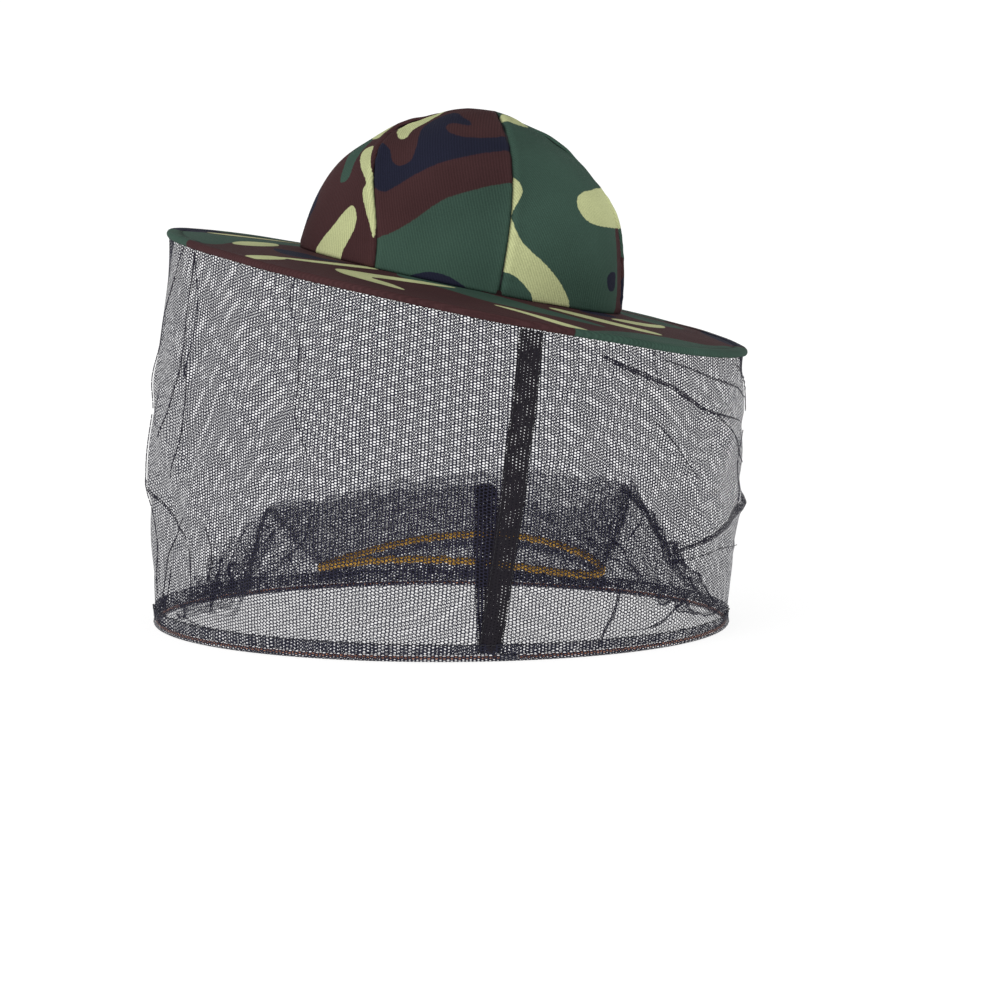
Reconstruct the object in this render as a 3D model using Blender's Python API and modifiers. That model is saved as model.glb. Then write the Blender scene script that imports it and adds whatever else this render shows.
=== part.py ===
"""A beekeeping veil, as worn: a six-panel hat with a wired brim, a net hanging from
the brim to a wire hoop, and a net skirt gathered onto a neck elastic.

Metres, +Z up. The origin is the centre of the head opening, and the front faces -Y.
Angles run round from the front, through the wearer's left at +X.
"""

import math

import bmesh
import bpy
from mathutils import Matrix, Vector

# Crown
HAT_PITCH = math.radians(12)  # the brim's front tips up, and its back down
CROWN_HALF_LENGTH = 0.104
CROWN_HALF_WIDTH = 0.087
CROWN_HEIGHT = 0.107
CROWN_TIP_OPENING = 0.015  # share of the base radius where the six panels stop
PANEL_THICKNESS = 0.0009
PANELS = {  # each between two seams: their degrees at the base, and how far they lean by the top
    "front_left": ((0, 0), (71, -55)),
    "side_left": ((71, -55), (115, 0)),
    "back_left": ((115, 0), (180, 0)),
    "back_right": ((180, 0), (245, 0)),
    "side_right": ((245, 0), (289, 55)),
    "front_right": ((289, 55), (360, 0)),
}
SEAM_CURVE = 1.8  # a leaning seam starts upright and leans faster towards the top
CROWN_TAPE_WIDTH = 0.010
CROWN_TAPE_THICKNESS = 0.0006
SWEATBAND_HEIGHT = 0.028
SWEATBAND_THICKNESS = 0.0012

# Brim
BRIM_RADIUS = 0.184
BRIM_DROP = 0.006
BRIM_PLY = 0.0007
INTERLINING = 0.0008
BRIM_WIRE_DIAMETER = 0.0012

# Net wall and lower hoop
HOOP_RADIUS = 0.1765  # of the wire's centre line
HOOP_BELOW_SEAT = 0.209
HOOP_FORWARD = 0.0115  # the hoop hangs this far in front of the head opening
HOOP_WIRE_DIAMETER = 0.0018
CASING_THICKNESS = 0.0007
CASING_SLOT = math.radians(70)  # open along the top, where the nets are sewn together
NET_THICKNESS = 0.0008
WALL_BULGE = 0.005
SEAM_TAPE_WIDTH = 0.014
SEAM_TAPE_THICKNESS = 0.0008
WALL_SEAM_TOP = math.radians(117.5)
SEAM_AT_HOOP = math.radians(114.5)

# Neck skirt
NECK_BACK = 0.001  # the neck ring's centre behind the head opening's centre
ELASTIC_HALF_WIDTH = 0.076
ELASTIC_HALF_LENGTH = 0.088
ELASTIC_ABOVE_HOOP = 0.037
ELASTIC_SADDLE = 0.007  # higher at the nape and throat, lower on the shoulders
ELASTIC_DIAMETER = 0.0035
CREST_HALF_WIDTH = 0.094
CREST_HALF_LENGTH = 0.108
CREST_ABOVE_HOOP = 0.082
SKIRT_SEAM_AT_CREST = math.radians(110)
FRILL_DROP = 0.006
FRILL_FLARE = 0.003

# Clearances and resolution
GAP = 0.0003
FACET_GAP = 0.0007  # between curved pieces whose facets don't line up
FERRULE_WALL = 0.0004
FERRULE_LENGTH = 0.010
RING_STEPS = 48
CROWN_ROWS = 12
TAPE_ROWS = 9
TAPE_SPACING = 0.1  # share of the room between two seams that their tapes leave free
FERRULE_STEPS = 12
STEP_ANGLE = 2 * math.pi / RING_STEPS

HAT_TILT = Matrix.Rotation(-HAT_PITCH, 4, "X")
HOOP_CENTRE = Vector((0, -HOOP_FORWARD, -HOOP_BELOW_SEAT))
NECK_CENTRE = Vector((0, NECK_BACK, -HOOP_BELOW_SEAT))

# What follows from the sizes above
BRIM_HALF = BRIM_PLY + INTERLINING / 2 + GAP
BRIM_WIRE_RADIUS = BRIM_WIRE_DIAMETER / 2
HOOP_WIRE_RADIUS = HOOP_WIRE_DIAMETER / 2
BRIM_FERRULE_RADIUS = BRIM_WIRE_RADIUS + GAP + FERRULE_WALL
HOOP_FERRULE_RADIUS = HOOP_WIRE_RADIUS + GAP + FERRULE_WALL
BRIM_ROLL = BRIM_FERRULE_RADIUS + GAP + BRIM_PLY
CASING_RADIUS = HOOP_FERRULE_RADIUS + GAP + CASING_THICKNESS
CROWN_BASE = BRIM_HALF + GAP
TAPE_INSET = PANEL_THICKNESS + FACET_GAP
SWEATBAND_INSET = TAPE_INSET + CROWN_TAPE_THICKNESS + FACET_GAP


def clear_scene():
    for thing in list(bpy.data.objects):
        bpy.data.objects.remove(thing, do_unlink=True)


def material(name, colour, roughness, metallic=0.0):
    made = bpy.data.materials.new(name)
    made.use_nodes = True
    shader = made.node_tree.nodes["Principled BSDF"]
    shader.inputs["Base Color"].default_value = (*colour, 1.0)
    shader.inputs["Roughness"].default_value = roughness
    shader.inputs["Metallic"].default_value = metallic
    return made


def add_object(name, data, finish, collection, parent=None):
    made = bpy.data.objects.new(name, data)
    made.data.materials.append(finish)
    made.parent = parent
    collection.objects.link(made)
    return made


def ring_angles():
    return [STEP_ANGLE * step for step in range(RING_STEPS)]


def around(angle, half_width, half_length):
    return Vector((half_width * math.sin(angle), -half_length * math.cos(angle), 0))


def thicken(made, thickness):
    solidify = made.modifiers.new("Thickness", "SOLIDIFY")
    solidify.thickness = thickness
    solidify.offset = -1
    solidify.use_even_offset = True


def sheet(name, rows, closed, thickness, finish, collection, parent=None):
    """A cloth from rows of points, thickened away from its normals. Closed rows join end to end."""
    cloth = bmesh.new()
    grid = [[cloth.verts.new(point) for point in row] for row in rows]
    count = len(grid[0])
    for upper, lower in zip(grid, grid[1:]):
        for place in range(count if closed else count - 1):
            following = (place + 1) % count
            cloth.faces.new((upper[place], lower[place], lower[following], upper[following]))
    mesh = bpy.data.meshes.new(name)
    cloth.to_mesh(mesh)
    cloth.free()
    mesh.shade_smooth()
    made = add_object(name, mesh, finish, collection, parent)
    thicken(made, thickness)
    return made


def turned(name, profile, steps, finish, collection, closed_profile, parent=None):
    """A profile in the XZ plane turned round Z, its outer side listed from top to bottom."""
    mesh = bpy.data.meshes.new(name)
    edges = [(place, place + 1) for place in range(len(profile) - 1)]
    if closed_profile:
        edges.append((len(profile) - 1, 0))
    mesh.from_pydata([(radius, 0, height) for radius, height in profile], edges, [])
    made = add_object(name, mesh, finish, collection, parent)
    screw = made.modifiers.new("Turn", "SCREW")
    screw.axis = "Z"
    screw.steps = steps
    screw.render_steps = steps
    screw.use_merge_vertices = True
    screw.merge_threshold = 0.0001
    screw.use_smooth_shade = True
    return made


def wire(name, points, cyclic, radius, finish, collection, parent=None):
    curve = bpy.data.curves.new(name, "CURVE")
    curve.dimensions = "3D"
    curve.bevel_depth = radius
    curve.bevel_resolution = 1
    curve.use_fill_caps = True
    spline = curve.splines.new("POLY")
    spline.points.add(len(points) - 1)
    for place, point in zip(spline.points, points):
        place.co = (*point, 1)
    spline.use_cyclic_u = cyclic
    return add_object(name, curve, finish, collection, parent)


# Crown


def crown_spread(share):
    """The dome's width at a share of its height, against its width at the base."""
    shoulder = max(1 - share**3, 0) ** 0.74
    return shoulder * (1 - 0.16 * share * (1 - share))


def crown_point(angle, share, inset=0.0):
    spread = crown_spread(share)
    half_width = (CROWN_HALF_WIDTH - inset) * spread
    point = around(angle, half_width, (CROWN_HALF_LENGTH - inset) * spread)
    point.z = CROWN_BASE + (CROWN_HEIGHT - inset) * share
    return point


def crown_shares():
    """Heights from the top down. They crowd towards the top, where the dome turns flat."""
    last = 1 - CROWN_TIP_OPENING**1.35 / 3
    reach = (1 - last) ** (1 / 1.6)
    steps = [place / CROWN_ROWS for place in range(CROWN_ROWS, -1, -1)]
    return [1 - (1 - step * (1 - reach)) ** 1.6 for step in steps]


def seam_angle(seam, share):
    base, lean = seam
    return math.radians(base + lean * share**SEAM_CURVE)


def seam_room(seam, share):
    """Half the angle from a seam to its nearest neighbour. The seams close up towards the tip."""
    others = {other for pair in PANELS.values() for other in pair}
    turns = [(seam_angle(other, share) - seam_angle(seam, share)) % (2 * math.pi) for other in others]
    return min(min(turn, 2 * math.pi - turn) for turn in turns if 1e-6 < turn < 2 * math.pi - 1e-6) / 2


def crown_panel(name, seams, finish, collection, parent):
    columns = math.ceil((seams[1][0] - seams[0][0]) / 8)
    rows = []
    for share in crown_shares():
        radius = max(crown_spread(share), CROWN_TIP_OPENING) * CROWN_HALF_WIDTH
        trim = GAP / 2 / radius
        low = seam_angle(seams[0], share) + trim
        high = seam_angle(seams[1], share) - trim
        steps = [low + (high - low) * place / columns for place in range(columns + 1)]
        rows.append([crown_point(angle, share) for angle in steps])
    return sheet(name, rows, False, PANEL_THICKNESS, finish, collection, parent)


def crown_seam_tape(name, seam, finish, collection, parent):
    rows = []
    for share in crown_shares():
        radius = max(crown_spread(share) * CROWN_HALF_WIDTH, CROWN_TAPE_WIDTH)
        half = CROWN_TAPE_WIDTH / 2 / radius * min(1, 2.5 * crown_spread(share))
        inside = (CROWN_HALF_WIDTH - TAPE_INSET - CROWN_TAPE_THICKNESS) * crown_spread(share)
        half = min(half, seam_room(seam, share) * (1 - TAPE_SPACING) - GAP / 2 / inside)
        angles = [seam_angle(seam, share) + half * side for side in (-1, 0, 1)]
        rows.append([crown_point(angle, share, TAPE_INSET) for angle in angles])
    return sheet(name, rows, False, CROWN_TAPE_THICKNESS, finish, collection, parent)


def sweatband(finish, collection, parent):
    top = CROWN_BASE + SWEATBAND_HEIGHT
    rows = []
    for height in (top, CROWN_BASE + 0.6 * SWEATBAND_HEIGHT, CROWN_BASE, -BRIM_HALF):
        share = max(height - CROWN_BASE, 0) / (CROWN_HEIGHT - SWEATBAND_INSET)
        row = [crown_point(angle, share, SWEATBAND_INSET) for angle in ring_angles()]
        rows.append([Vector((point.x, point.y, height)) for point in row])
    return sheet("sweatband", rows, True, SWEATBAND_THICKNESS, finish, collection, parent)


# Brim


def brim_point(angle, share, inward, above):
    """A point at a share of the brim's width, moved inward from there, and above its middle."""
    inner = around(angle, CROWN_HALF_WIDTH - PANEL_THICKNESS, CROWN_HALF_LENGTH - PANEL_THICKNESS)
    outer = around(angle, BRIM_RADIUS, BRIM_RADIUS)
    share = share - inward / (outer - inner).length
    point = inner.lerp(outer, share)
    point.z = above - BRIM_DROP * share
    return point


def brim_sheet(name, outline, thickness, finish, collection, parent):
    rows = [[brim_point(angle, *place) for angle in ring_angles()] for place in outline]
    return sheet(name, rows, True, thickness, finish, collection, parent)


def brim_top_ply(finish, collection, parent):
    """It runs over the wire and turns under at the rim."""
    flat = [(share, 0, BRIM_HALF) for share in (0, 0.45)]
    roll = [
        (1, BRIM_ROLL - BRIM_ROLL * math.cos(turn), BRIM_ROLL * math.sin(turn))
        for turn in (math.radians(90), math.radians(48), 0, math.radians(-48))
    ]
    outline = flat + [(1, 4 * BRIM_ROLL, BRIM_HALF)] + roll
    return brim_sheet("brim_top_ply", outline, BRIM_PLY, finish, collection, parent)


def brim_under_ply(finish, collection, parent):
    outline = [
        (1, BRIM_ROLL, -BRIM_ROLL),
        (1, 2 * BRIM_ROLL, -BRIM_ROLL),
        (1, 4 * BRIM_ROLL, -BRIM_HALF),
        (0.45, 0, -BRIM_HALF),
        (0, 0, -BRIM_HALF),
    ]
    return brim_sheet("brim_under_ply", outline, BRIM_PLY, finish, collection, parent)


def brim_interlining(finish, collection, parent):
    edge = BRIM_ROLL + BRIM_FERRULE_RADIUS + FACET_GAP
    outline = [(0, 0, INTERLINING / 2), (0.45, 0, INTERLINING / 2), (1, edge, INTERLINING / 2)]
    return brim_sheet("brim_interlining", outline, INTERLINING, finish, collection, parent)


def wire_joint(centre, radius, angle):
    """The middle and the direction of the ring's straight facet at this angle."""
    first = math.floor(angle / STEP_ANGLE) * STEP_ANGLE
    start = centre + around(first, radius, radius)
    end = centre + around(first + STEP_ANGLE, radius, radius)
    return start.lerp(end, 0.5), (end - start).normalized(), first


def hoop_wire(name, centre, radius, angle, wire_radius, finish, collection, parent=None):
    """A wire ring whose two ends nearly meet, inside its ferrule."""
    middle, along, first = wire_joint(centre, radius, angle)
    points = [middle + along * GAP]
    for turn in ring_angles():
        points.append(centre + around(first + STEP_ANGLE + turn, radius, radius))
    points.append(middle - along * GAP)
    return wire(name, points, False, wire_radius, finish, collection, parent)


def ferrule(name, centre, radius, angle, wire_radius, finish, collection, parent=None):
    """A sleeve round both ends of a hoop's wire."""
    bore = wire_radius + GAP
    outside = bore + FERRULE_WALL
    half = FERRULE_LENGTH / 2
    profile = [(outside, half), (outside, -half), (bore, -half), (bore, half)]
    made = turned(name, profile, FERRULE_STEPS, finish, collection, True, parent)
    made.location, along, _ = wire_joint(centre, radius, angle)
    made.rotation_euler = along.to_track_quat("Z", "Y").to_euler()
    return made


# Net wall, lower hoop and seam tapes


def wall_point(angle, share, outward=0.0):
    """From under the brim's edge at share 0 to the hoop's casing at share 1."""
    top = HAT_TILT @ brim_point(angle, 1, 1.3 * BRIM_ROLL, -BRIM_ROLL - GAP)
    radius = HOOP_RADIUS + CASING_RADIUS / 2
    bottom = HOOP_CENTRE + around(angle, radius, radius)
    bottom.z += CASING_RADIUS + GAP
    out = around(angle, 1, 1) * (outward + WALL_BULGE * math.sin(math.pi * share))
    return top.lerp(bottom, share) + out


def net_wall(finish, collection):
    shares = [place / 6 for place in range(7)]
    rows = [[wall_point(angle, share) for angle in ring_angles()] for share in shares]
    return sheet("net_wall", rows, True, NET_THICKNESS, finish, collection)


def strip(name, point_at, shares, seam_at, width_angle_at, thickness, finish, collection):
    """A tape that lies along a cloth, three points wide."""
    rows = []
    for share in shares:
        half = width_angle_at(share)
        rows.append([point_at(seam_at(share) + half * side, share) for side in (-1, 0, 1)])
    return sheet(name, rows, False, thickness, finish, collection)


def wall_seam_tape(finish, collection):
    outward = GAP + SEAM_TAPE_THICKNESS

    def point_at(angle, share):
        return wall_point(angle, share, outward)

    def seam_at(share):
        return WALL_SEAM_TOP + (SEAM_AT_HOOP - WALL_SEAM_TOP) * share

    def half_angle(share):
        return SEAM_TAPE_WIDTH / 2 / HOOP_RADIUS

    shares = [0.01 + 0.98 * place / 6 for place in range(7)]
    shape = (point_at, shares, seam_at, half_angle, SEAM_TAPE_THICKNESS)
    return strip("wall_seam_tape", *shape, finish, collection)


def hoop_casing(finish, collection):
    """The net's hem round the wire, open along its top."""
    count = 7
    first = math.pi / 2 - CASING_SLOT / 2
    profile = []
    for place in range(count + 1):
        turn = first - (2 * math.pi - CASING_SLOT) * place / count
        radius = HOOP_RADIUS + CASING_RADIUS * math.cos(turn)
        profile.append((radius, CASING_RADIUS * math.sin(turn)))
    made = turned("hoop_casing", profile, RING_STEPS, finish, collection, False)
    made.location = HOOP_CENTRE
    thicken(made, CASING_THICKNESS)
    return made


# Neck skirt


def skirt_point(angle, share, above=0.0):
    """From the hoop's casing at share 0, up and inward to the crest at share 1."""
    radius = HOOP_RADIUS - CASING_RADIUS / 2
    outer = HOOP_CENTRE + around(angle, radius, radius)
    inner = NECK_CENTRE + around(angle, CREST_HALF_WIDTH, CREST_HALF_LENGTH)
    point = outer.lerp(inner, share)
    low = CASING_RADIUS + GAP
    point.z += low + (CREST_ABOVE_HOOP - low) * share + above
    return point


def neck_ring(angle, half_width, half_length, height):
    point = NECK_CENTRE + around(angle, half_width, half_length)
    point.z += height - ELASTIC_SADDLE * math.cos(2 * angle)
    return point


def skirt_outer(finish, collection):
    shares = (1, 0.66, 0.33, 0)
    rows = [[skirt_point(angle, share) for angle in ring_angles()] for share in shares]
    return sheet("skirt_outer", rows, True, NET_THICKNESS, finish, collection)


def skirt_inner(finish, collection):
    """From inside the crest down to the elastic."""
    inset = NET_THICKNESS + FACET_GAP
    low = ELASTIC_ABOVE_HOOP + ELASTIC_DIAMETER / 2 + NET_THICKNESS + GAP
    rows = []
    for share in (0, 0.5, 1):
        row = []
        for angle in ring_angles():
            crest = skirt_point(angle, 1) - around(angle, inset, inset)
            neck = neck_ring(angle, ELASTIC_HALF_WIDTH, ELASTIC_HALF_LENGTH, low)
            row.append(neck.lerp(crest, share))
        rows.append(row)
    return sheet("skirt_inner", rows, True, NET_THICKNESS, finish, collection)


def skirt_seam_tape(finish, collection):
    slope = CREST_ABOVE_HOOP / (HOOP_RADIUS - CREST_HALF_WIDTH)
    above = (FACET_GAP + SEAM_TAPE_THICKNESS) * math.hypot(1, slope)
    shares = [0.99 - 0.96 * place / TAPE_ROWS for place in range(TAPE_ROWS + 1)]

    def point_at(angle, share):
        return skirt_point(angle, share, above)

    def seam_at(share):
        return SEAM_AT_HOOP + (SKIRT_SEAM_AT_CREST - SEAM_AT_HOOP) * share

    def half_angle(share):
        return SEAM_TAPE_WIDTH / 2 / (HOOP_RADIUS + (CREST_HALF_WIDTH - HOOP_RADIUS) * share)

    shape = (point_at, shares, seam_at, half_angle, SEAM_TAPE_THICKNESS)
    return strip("skirt_seam_tape", *shape, finish, collection)


def neck_elastic(finish, collection):
    points = [
        neck_ring(angle, ELASTIC_HALF_WIDTH, ELASTIC_HALF_LENGTH, ELASTIC_ABOVE_HOOP)
        for angle in ring_angles()
    ]
    return wire("neck_elastic", points, True, ELASTIC_DIAMETER / 2, finish, collection)


def neck_frill(finish, collection):
    top = ELASTIC_ABOVE_HOOP - ELASTIC_DIAMETER / 2 - GAP
    rows = []
    for share in (0, 1):
        flare = FRILL_FLARE * share
        height = top - FRILL_DROP * share
        row = [
            neck_ring(angle, ELASTIC_HALF_WIDTH + flare, ELASTIC_HALF_LENGTH + flare, height)
            for angle in ring_angles()
        ]
        rows.append(row)
    return sheet("neck_frill", rows, True, NET_THICKNESS, finish, collection)


def build_crown(finishes, collection, hat):
    for name, seams in PANELS.items():
        crown_panel("crown_" + name, seams, finishes["camouflage"], collection, hat)
        crown_seam_tape("crown_tape_" + name, seams[0], finishes["lining_tape"], collection, hat)
    sweatband(finishes["sweatband"], collection, hat)


def build_brim(finishes, collection, hat):
    centre = Vector((0, 0, -BRIM_DROP))
    brim_top_ply(finishes["camouflage"], collection, hat)
    brim_under_ply(finishes["camouflage"], collection, hat)
    brim_interlining(finishes["interlining"], collection, hat)
    place = (centre, BRIM_RADIUS - BRIM_ROLL, math.pi, BRIM_WIRE_RADIUS)
    hoop_wire("brim_hoop", *place, finishes["spring_wire"], collection, hat)
    ferrule("brim_hoop_ferrule", *place, finishes["ferrule"], collection, hat)


def build_veil(finishes, collection):
    net = finishes["net"]
    net_wall(net, collection)
    wall_seam_tape(finishes["seam_tape"], collection)
    place = (HOOP_CENTRE, HOOP_RADIUS, SEAM_AT_HOOP, HOOP_WIRE_RADIUS)
    hoop_wire("lower_hoop", *place, finishes["copper_wire"], collection)
    ferrule("lower_hoop_ferrule", *place, finishes["ferrule"], collection)
    hoop_casing(net, collection)
    skirt_outer(net, collection)
    skirt_inner(net, collection)
    skirt_seam_tape(finishes["seam_tape"], collection)
    neck_elastic(finishes["elastic"], collection)
    neck_frill(net, collection)


clear_scene()
veil = bpy.data.collections.new("beekeeping_veil")
bpy.context.scene.collection.children.link(veil)
hat_seat = bpy.data.objects.new("hat_seat", None)
hat_seat.rotation_euler = (-HAT_PITCH, 0, 0)
veil.objects.link(hat_seat)
materials = {
    "camouflage": material("camouflage", (0.035, 0.066, 0.051), 0.85),
    "lining_tape": material("lining_tape", (0.02, 0.02, 0.022), 0.8),
    "sweatband": material("sweatband", (0.03, 0.03, 0.032), 0.8),
    "interlining": material("interlining", (0.6, 0.6, 0.57), 0.9),
    "spring_wire": material("spring_wire", (0.5, 0.5, 0.52), 0.3, 1.0),
    "copper_wire": material("copper_wire", (0.55, 0.27, 0.18), 0.35, 1.0),
    "ferrule": material("ferrule", (0.45, 0.45, 0.46), 0.35, 1.0),
    "net": material("net", (0.012, 0.012, 0.018), 0.7),
    "seam_tape": material("seam_tape", (0.014, 0.012, 0.016), 0.75),
    "elastic": material("elastic", (0.46, 0.21, 0.02), 0.7),
}
build_crown(materials, veil, hat_seat)
build_brim(materials, veil, hat_seat)
build_veil(materials, veil)
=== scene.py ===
import math

import bmesh
import bpy
import numpy as np
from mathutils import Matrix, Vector


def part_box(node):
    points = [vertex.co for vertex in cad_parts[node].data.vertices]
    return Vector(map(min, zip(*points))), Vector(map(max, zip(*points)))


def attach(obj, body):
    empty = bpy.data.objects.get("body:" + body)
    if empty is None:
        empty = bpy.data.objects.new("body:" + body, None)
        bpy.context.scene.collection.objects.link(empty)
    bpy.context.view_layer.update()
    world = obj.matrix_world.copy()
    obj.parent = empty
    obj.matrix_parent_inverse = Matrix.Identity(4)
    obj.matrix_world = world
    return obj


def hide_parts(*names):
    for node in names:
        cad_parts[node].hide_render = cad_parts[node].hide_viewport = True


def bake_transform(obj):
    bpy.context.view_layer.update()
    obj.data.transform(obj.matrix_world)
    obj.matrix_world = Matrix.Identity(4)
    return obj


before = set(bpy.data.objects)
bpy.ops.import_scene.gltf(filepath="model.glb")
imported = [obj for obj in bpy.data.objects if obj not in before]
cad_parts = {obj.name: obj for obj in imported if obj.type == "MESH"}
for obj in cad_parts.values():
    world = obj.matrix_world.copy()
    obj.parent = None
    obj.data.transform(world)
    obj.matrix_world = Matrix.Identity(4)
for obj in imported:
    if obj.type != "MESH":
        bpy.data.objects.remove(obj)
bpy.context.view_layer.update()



def add_object(name, data):
    made = bpy.data.objects.new(name, data)
    bpy.context.scene.collection.objects.link(made)
    return made


def full_turn(steps):
    """Angles right round, the last at the same place as the first."""
    return np.linspace(0, 2 * np.pi, steps + 1)


# The camera stands behind the wearer's left shoulder, level with the brim, in front of a
# white studio sweep, under a large soft light and a weaker fill.
TURN = math.radians(103.5)
DISTANCE = 1.635
eye = bpy.data.cameras.new("eye")
eye.lens = 94.3
eye.sensor_width = 36
eye.shift_x = 0.0406
eye.shift_y = -0.2328
camera = add_object("camera", eye)
camera.location = (math.sin(TURN) * DISTANCE, -math.cos(TURN) * DISTANCE, 0.009)
camera.rotation_euler = (math.pi / 2, 0, TURN)
bpy.context.scene.camera = camera
bpy.context.scene.view_settings.view_transform = "Standard"
bpy.context.scene.cycles.transparent_max_bounces = 40


def softbox(name, place, size, power):
    lamp = bpy.data.lights.new(name, "AREA")
    lamp.size = size
    lamp.energy = power
    box = add_object(name, lamp)
    box.location = place
    box.rotation_euler = (-Vector(place)).to_track_quat("-Z", "Y").to_euler()


softbox("key_light", (2.35, -0.75, 0.95), 1.5, 30)
softbox("fill_light", (-1.6, 1.9, 1.2), 1.6, 3.5)
world = bpy.data.worlds.new("studio")
world.use_nodes = True
world.node_tree.nodes["Background"].inputs["Color"].default_value = (1, 1, 1, 1)
world.node_tree.nodes["Background"].inputs["Strength"].default_value = 0.6
bpy.context.scene.world = world

hoop_low, hoop_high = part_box("hoop_casing")
SWEEP_RINGS = [(2.6, 0.0), (2.9, 0.05), (3.2, 0.25), (3.4, 0.6), (3.5, 1.2), (3.5, 2.2)]
SWEEP_STEPS = 96
sweep = bmesh.new()
edge = []
for radius, height in SWEEP_RINGS:
    ring = []
    for step in range(SWEEP_STEPS):
        turn = 2 * math.pi * step / SWEEP_STEPS
        place = (radius * math.cos(turn), radius * math.sin(turn), hoop_low.z + height)
        ring.append(sweep.verts.new(place))
    edge.append(ring)
sweep.faces.new(edge[0])
for inner, outer in zip(edge, edge[1:]):
    for step in range(SWEEP_STEPS):
        after = (step + 1) % SWEEP_STEPS
        sweep.faces.new((inner[step], outer[step], outer[after], inner[after]))
sweep_mesh = bpy.data.meshes.new("sweep")
sweep.to_mesh(sweep_mesh)
sweep.free()
sweep_mesh.shade_smooth()
floor = add_object("floor", sweep_mesh)
paper = bpy.data.materials.new("paper")
paper.use_nodes = True
paper_shader = paper.node_tree.nodes["Principled BSDF"]
paper_shader.inputs["Base Color"].default_value = (0.22, 0.22, 0.22, 1)
paper_shader.inputs["Roughness"].default_value = 0.9
paper_shader.inputs["Emission Color"].default_value = (1, 1, 1, 1)
paper_shader.inputs["Emission Strength"].default_value = 0.86
paper_shader.inputs["Specular IOR Level"].default_value = 0.0
floor.data.materials.append(paper)

# Crown: six sewn panels of printed cotton twill, cut from a woodland camouflage cloth. The
# panels are turned under and joined by plain seams, so each edge sinks into a groove.
brim_low, brim_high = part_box("brim_top_ply")
wire_low, wire_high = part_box("brim_hoop")
RIM_WIRE = 0.0012
PITCH = math.atan2(wire_high.z - wire_low.z - RIM_WIRE, wire_high.y - wire_low.y - RIM_WIRE)
HALF_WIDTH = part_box("crown_side_left")[1].x
HALF_LENGTH = HALF_WIDTH + 0.017
HEIGHT = 0.107
CROWN_FOOT = 0.0016
PANEL_THICKNESS = 0.0009
PANEL_PRINT = (0.095, 0.115)  # metres to a radian round the crown, and to its height
BRIM_PRINT = (0.14, 0.088)  # metres to a radian round the brim, and to its width
GREEN = (0.034, 0.066, 0.050, 1)
BROWN = (0.044, 0.019, 0.020, 1)
NAVY = (0.012, 0.013, 0.026, 1)
LIME = (0.41, 0.435, 0.225, 1)


class Shade:
    """A socket of a material, which adds and multiplies as a number does."""

    def __init__(self, tree, socket=None):
        self.tree = tree
        self.socket = socket

    def node(self, kind, settings, values, output=0):
        made = self.tree.nodes.new("ShaderNode" + kind)
        for setting, value in settings.items():
            setattr(made, setting, value)
        for place, value in values.items():
            if isinstance(value, Shade):
                self.tree.links.new(value.socket, made.inputs[place])
            else:
                made.inputs[place].default_value = value
        return Shade(self.tree, made.outputs[output])

    def math(self, operation, first, second=0.0):
        return self.node("Math", {"operation": operation}, {0: first, 1: second})

    def __add__(self, other):
        return self.math("ADD", self, other)

    def __radd__(self, other):
        return self.math("ADD", other, self)

    def __sub__(self, other):
        return self.math("SUBTRACT", self, other)

    def __rsub__(self, other):
        return self.math("SUBTRACT", other, self)

    def __mul__(self, other):
        return self.math("MULTIPLY", self, other)

    def __rmul__(self, other):
        return self.math("MULTIPLY", other, self)

    def __mod__(self, other):
        return self.math("FLOORED_MODULO", self, other)

    def __abs__(self):
        return self.math("ABSOLUTE", self)

    def __or__(self, other):
        return self.math("MAXIMUM", self, other)

    def __and__(self, other):
        return self.math("MINIMUM", self, other)

    def sine(self):
        return self.math("SINE", self)

    def rise(self, low, high):
        """0 below low, 1 above high."""
        way = {"interpolation_type": "SMOOTHSTEP"}
        return self.node("MapRange", way, {0: self, 1: low, 2: high, 3: 0.0, 4: 1.0})

    def blend(self, under, over):
        """The colour under where this is 0, and over where it is 1."""
        return self.node("Mix", {"data_type": "RGBA"}, {0: self, 6: under, 7: over}, 2)

    def noise(self, scale, detail=2.0, where=None):
        place = {"Scale": scale, "Detail": detail}
        if where is None:
            where = self.node("TexCoord", {}, {}, 3)
        place["Vector"] = where
        return self.node("TexNoise", {}, place)

    def field(self, name):
        return self.node("Attribute", {"attribute_name": name}, {}, 2)

    def flat(self):
        """The cloth's own flat coordinates, in metres, as a vector and its two parts."""
        vector = self.node("UVMap", {"uv_map": "cloth"}, {})
        parts = self.node("SeparateXYZ", {}, {0: vector})
        across = parts
        along = Shade(self.tree, parts.socket.node.outputs[1])
        return vector, across, along

    def bump(self, height, distance, strength=1.0):
        values = {"Strength": strength, "Distance": distance, "Height": height}
        return self.node("Bump", {}, values)


def new_finish(name):
    made = bpy.data.materials.new(name)
    made.use_nodes = True
    return made, Shade(made.node_tree)


def coat(made, values):
    """Sets the finish's own sockets, to a number or to what varies over the surface."""
    shader = made.node_tree.nodes["Principled BSDF"]
    for place, value in values.items():
        if isinstance(value, Shade):
            made.node_tree.links.new(value.socket, shader.inputs[place])
        else:
            shader.inputs[place].default_value = value


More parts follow.
